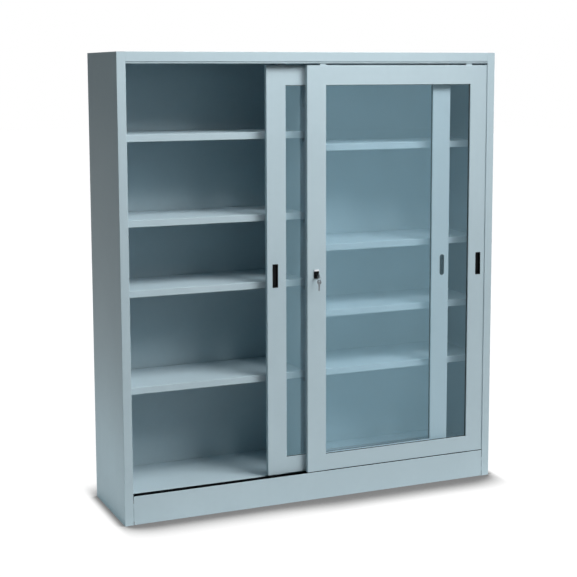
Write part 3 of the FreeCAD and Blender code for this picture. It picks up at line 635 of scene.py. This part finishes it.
def rivetRings(values):
    # blind rivet: crushed tail, shank, low domed head with the sunk end of its pin; the tail widens
    # with sin a and the dome narrows with cos a, while the depth follows the other one
    head, rise, grip = values["headRadius"], values["headRise"], values["grip"]
    tail, tailEnd, pin = values["tailRadius"], values["tailEnd"], values["pinRadius"]
    shank, pinSunk = values["shankRadius"], values["pinSunk"]
    slope = np.linspace(0, np.pi / 2, ringValues["slopeSteps"])
    radii = np.concatenate([tail * (tailEnd + (1 - tailEnd) * np.sin(slope)), [shank, shank, head],
                            pin + (head - pin) * np.cos(slope), [pin * pinSunk[0]]])
    depths = np.concatenate([-grip - values["tailRise"] * np.cos(slope), [-grip, 0.0, 0.0],
                             rise * np.sin(slope), [rise * pinSunk[1]]])
    return turnedStack(radii, depths, values["turnSteps"])


def makeRivets(values):
    low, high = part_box("back_rivets")
    rings = rivetRings(values)
    levels = np.arange(low.z + values["headRadius"], high.z, values["pitch"])
    rows = (low.x + values["headRadius"], high.x - values["headRadius"])
    face = high.y - values["headRise"]
    parts = [rings + np.array([x, face, z]) for x in rows for z in levels]
    makePiece("backRivets", parts, "zinc_steel", "cabinet", "back_rivets")
    return len(parts)


print(makeRivets(rivetValues), "rivets made")

# floor, surroundings and lamps

stageValues = {
    "floorRadius": 40.0,
    "floorSteps": 96,
    "nearBounce": grey(0.62),     # what the floor returns to the cabinet beside it, and far away
    "farBounce": grey(0.0),
    "bounceReach": 2.2,
    "litShare": grey(0.05),       # how much of the lamps' light shows on the white
    "shadowReach": 0.24,          # the cabinet hides the sky from a point that is nearer than this
    "shadowRays": 24,
    "shadowDepth": 0.82,          # what the darkest part of the shadow takes from the white
    "openness": (0.69, 0.96),     # share of open sky where the shadow is darkest, and where it ends
    "sideReach": 0.05,            # the shadow fades out this far beyond the cabinet's two ends
}


def showsWhite(tree):
    # 1 for rays from the camera, and for those mirrored by the object or gone through its glass
    path = addNode(tree, "LightPath")
    through = maths(tree, "MAXIMUM", path.outputs["Is Glossy Ray"], path.outputs["Is Transmission Ray"])
    return maths(tree, "MAXIMUM", path.outputs["Is Camera Ray"], through)


def distanceTo(tree, place, footprint):
    # how far a point of the floor is from the rectangle that the cabinet stands on
    gaps = []
    for axis, halfSide in zip("XY", footprint):
        beyond = maths(tree, "SUBTRACT", maths(tree, "ABSOLUTE", place.outputs[axis]), halfSide)
        gaps.append(maths(tree, "MAXIMUM", beyond, 0.0))
    flat = addNode(tree, "CombineXYZ", {"X": gaps[0], "Y": gaps[1]})
    return addNode(tree, "VectorMath", {0: flat.outputs[0]}, operation="LENGTH").outputs["Value"]


def shadowedWhite(tree, place, halfWidth, values):
    # 1 less the shadow: it grows as the cabinet hides the sky, and fades out beyond its two ends
    sky = addNode(tree, "AmbientOcclusion", {"Distance": values["shadowReach"]},
                  samples=values["shadowRays"]).outputs["AO"]
    dark = remap(tree, sky, *values["openness"], values["shadowDepth"], 0.0)
    across = maths(tree, "ABSOLUTE", place.outputs["X"])
    along = remap(tree, across, halfWidth, halfWidth + values["sideReach"], 1.0, 0.0, "SMOOTHSTEP")
    return maths(tree, "SUBTRACT", 1.0, maths(tree, "MULTIPLY", dark, along))


def makeFloor(values):
    # flat disc: x = r cos a, y = r sin a, z = 0
    angles = np.linspace(0, 2 * np.pi, values["floorSteps"], endpoint=False)
    rim = np.stack([np.cos(angles), np.sin(angles), np.zeros_like(angles)], 1) * values["floorRadius"]
    mesh = bpy.data.meshes.new("floor")
    mesh.from_pydata(rim.tolist(), [], [list(range(len(rim)))])
    floor = addObject("floor", mesh)
    material, tree = newMaterial("floorWhite")
    place = addNode(tree, "SeparateXYZ", {"Vector": objectPlace(tree)})
    footprint = (cadHigh.x, cadHigh.y)    # half the cabinet's width and depth
    # seen directly, through glass or mirrored: white with the base's shadow, and a little lamp light
    white = addNode(tree, "Emission", {
        "Color": grey(1.0), "Strength": shadowedWhite(tree, place, footprint[0], values)})
    lit = addNode(tree, "BsdfDiffuse", {"Color": values["litShare"]})
    seen = addNode(tree, "AddShader", {0: white.outputs["Emission"], 1: lit.outputs["BSDF"]})
    # the light that the floor throws back on the cabinet fades with the distance
    near = remap(tree, distanceTo(tree, place, footprint), 0.0, values["bounceReach"], 1.0, 0.0)
    bounce = addNode(tree, "BsdfDiffuse", {
        "Color": blendColours(tree, near, values["farBounce"], values["nearBounce"])})
    mix = blendShaders(tree, showsWhite(tree), bounce.outputs["BSDF"], seen.outputs["Shader"])
    addNode(tree, "OutputMaterial", {"Surface": mix})
    mesh.materials.append(material)


makeFloor(stageValues)

worldValues = {
    "seen": grey(1.0),
    # what lights the object and what it mirrors, from the low and the high end of each axis
    "lights": {"X": ((0.10, 0.19, 0.21, 1.0), grey(1.5)),
               "Y": (grey(0.0), grey(0.35)),
               "Z": (grey(0.0), grey(0.0))},
    "mirrored": {"X": (grey(0.6), grey(1.0)),
                 "Y": (grey(1.0), grey(0.6)),
                 "Z": (grey(1.0), grey(1.0))},
}


def roomColour(tree, ends):
    # one colour for each end of an axis, weighed by the square of the cosine to it
    way = addNode(tree, "SeparateXYZ", {"Vector": addNode(tree, "TexCoord").outputs["Generated"]})
    total = grey(0.0)[:3]
    for axis, (low, high) in ends.items():
        cosine = way.outputs[axis]
        colour = blendColours(tree, maths(tree, "GREATER_THAN", cosine, 0.0), low, high)
        part = addNode(tree, "VectorMath", {0: colour, "Scale": maths(tree, "MULTIPLY", cosine, cosine)},
                       operation="SCALE").outputs[0]
        total = addNode(tree, "VectorMath", {0: total, 1: part}, operation="ADD").outputs[0]
    return total


def glow(tree, colour):
    return addNode(tree, "Background", {"Color": colour, "Strength": 1.0}).outputs["Background"]


def makeWorld(values):
    world = bpy.data.worlds.new("studio")
    scene.world = world
    world.use_nodes = True
    tree = world.node_tree
    tree.nodes.clear()
    path = addNode(tree, "LightPath")
    fill = glow(tree, roomColour(tree, values["lights"]))
    room = glow(tree, roomColour(tree, values["mirrored"]))
    direct = maths(tree, "MAXIMUM", path.outputs["Is Camera Ray"], path.outputs["Is Transmission Ray"])
    indirect = blendShaders(tree, path.outputs["Is Glossy Ray"], fill, room)
    mix = blendShaders(tree, direct, indirect, glow(tree, values["seen"]))
    addNode(tree, "OutputWorld", {"Surface": mix})


makeWorld(worldValues)

lampValues = {
    "keyLamp": {"place": (4.2, -6.0, 7.8), "aim": (0.0, -0.2, 0.9), "size": (5.0, 5.0),
                "watts": 735.0, "colour": (1.0, 1.0, 1.0)},
    "nearLamp": {"place": (-0.2, -1.4, 2.9), "aim": (-0.2, -1.1, 0.0), "size": (2.4, 1.0),
                 "watts": 25.0, "colour": (1.0, 1.0, 1.0)},
    "backLamp": {"place": (1.6, 7.0, 2.6), "aim": (0.0, 0.2, 1.0), "size": (3.0, 3.0),
                 "watts": 320.0, "colour": (1.0, 1.0, 1.0)},
    "footLamp": {"place": (-1.5, 0.05, 0.20), "aim": (-0.9, 0.0, 0.20), "size": (0.8, 0.25),
                 "watts": 1.2, "colour": (0.84, 0.96, 1.0)},
}


def makeLamp(name, values):
    # a lamp lights the object, but shows neither itself nor its mirror image
    data = bpy.data.lights.new(name, "AREA")
    data.shape = "RECTANGLE"
    data.size, data.size_y = values["size"]
    data.energy = values["watts"]
    data.color = values["colour"]
    lamp = addObject(name, data)
    place = Vector(values["place"])
    lamp.rotation_mode = "QUATERNION"
    lamp.rotation_quaternion = (Vector(values["aim"]) - place).to_track_quat("-Z", "Y")
    lamp.location = place
    lamp.visible_glossy = False
    lamp.visible_camera = False


for lampName, values in lampValues.items():
    makeLamp(lampName, values)
print("floor, surroundings and", len(lampValues), "lamps made")
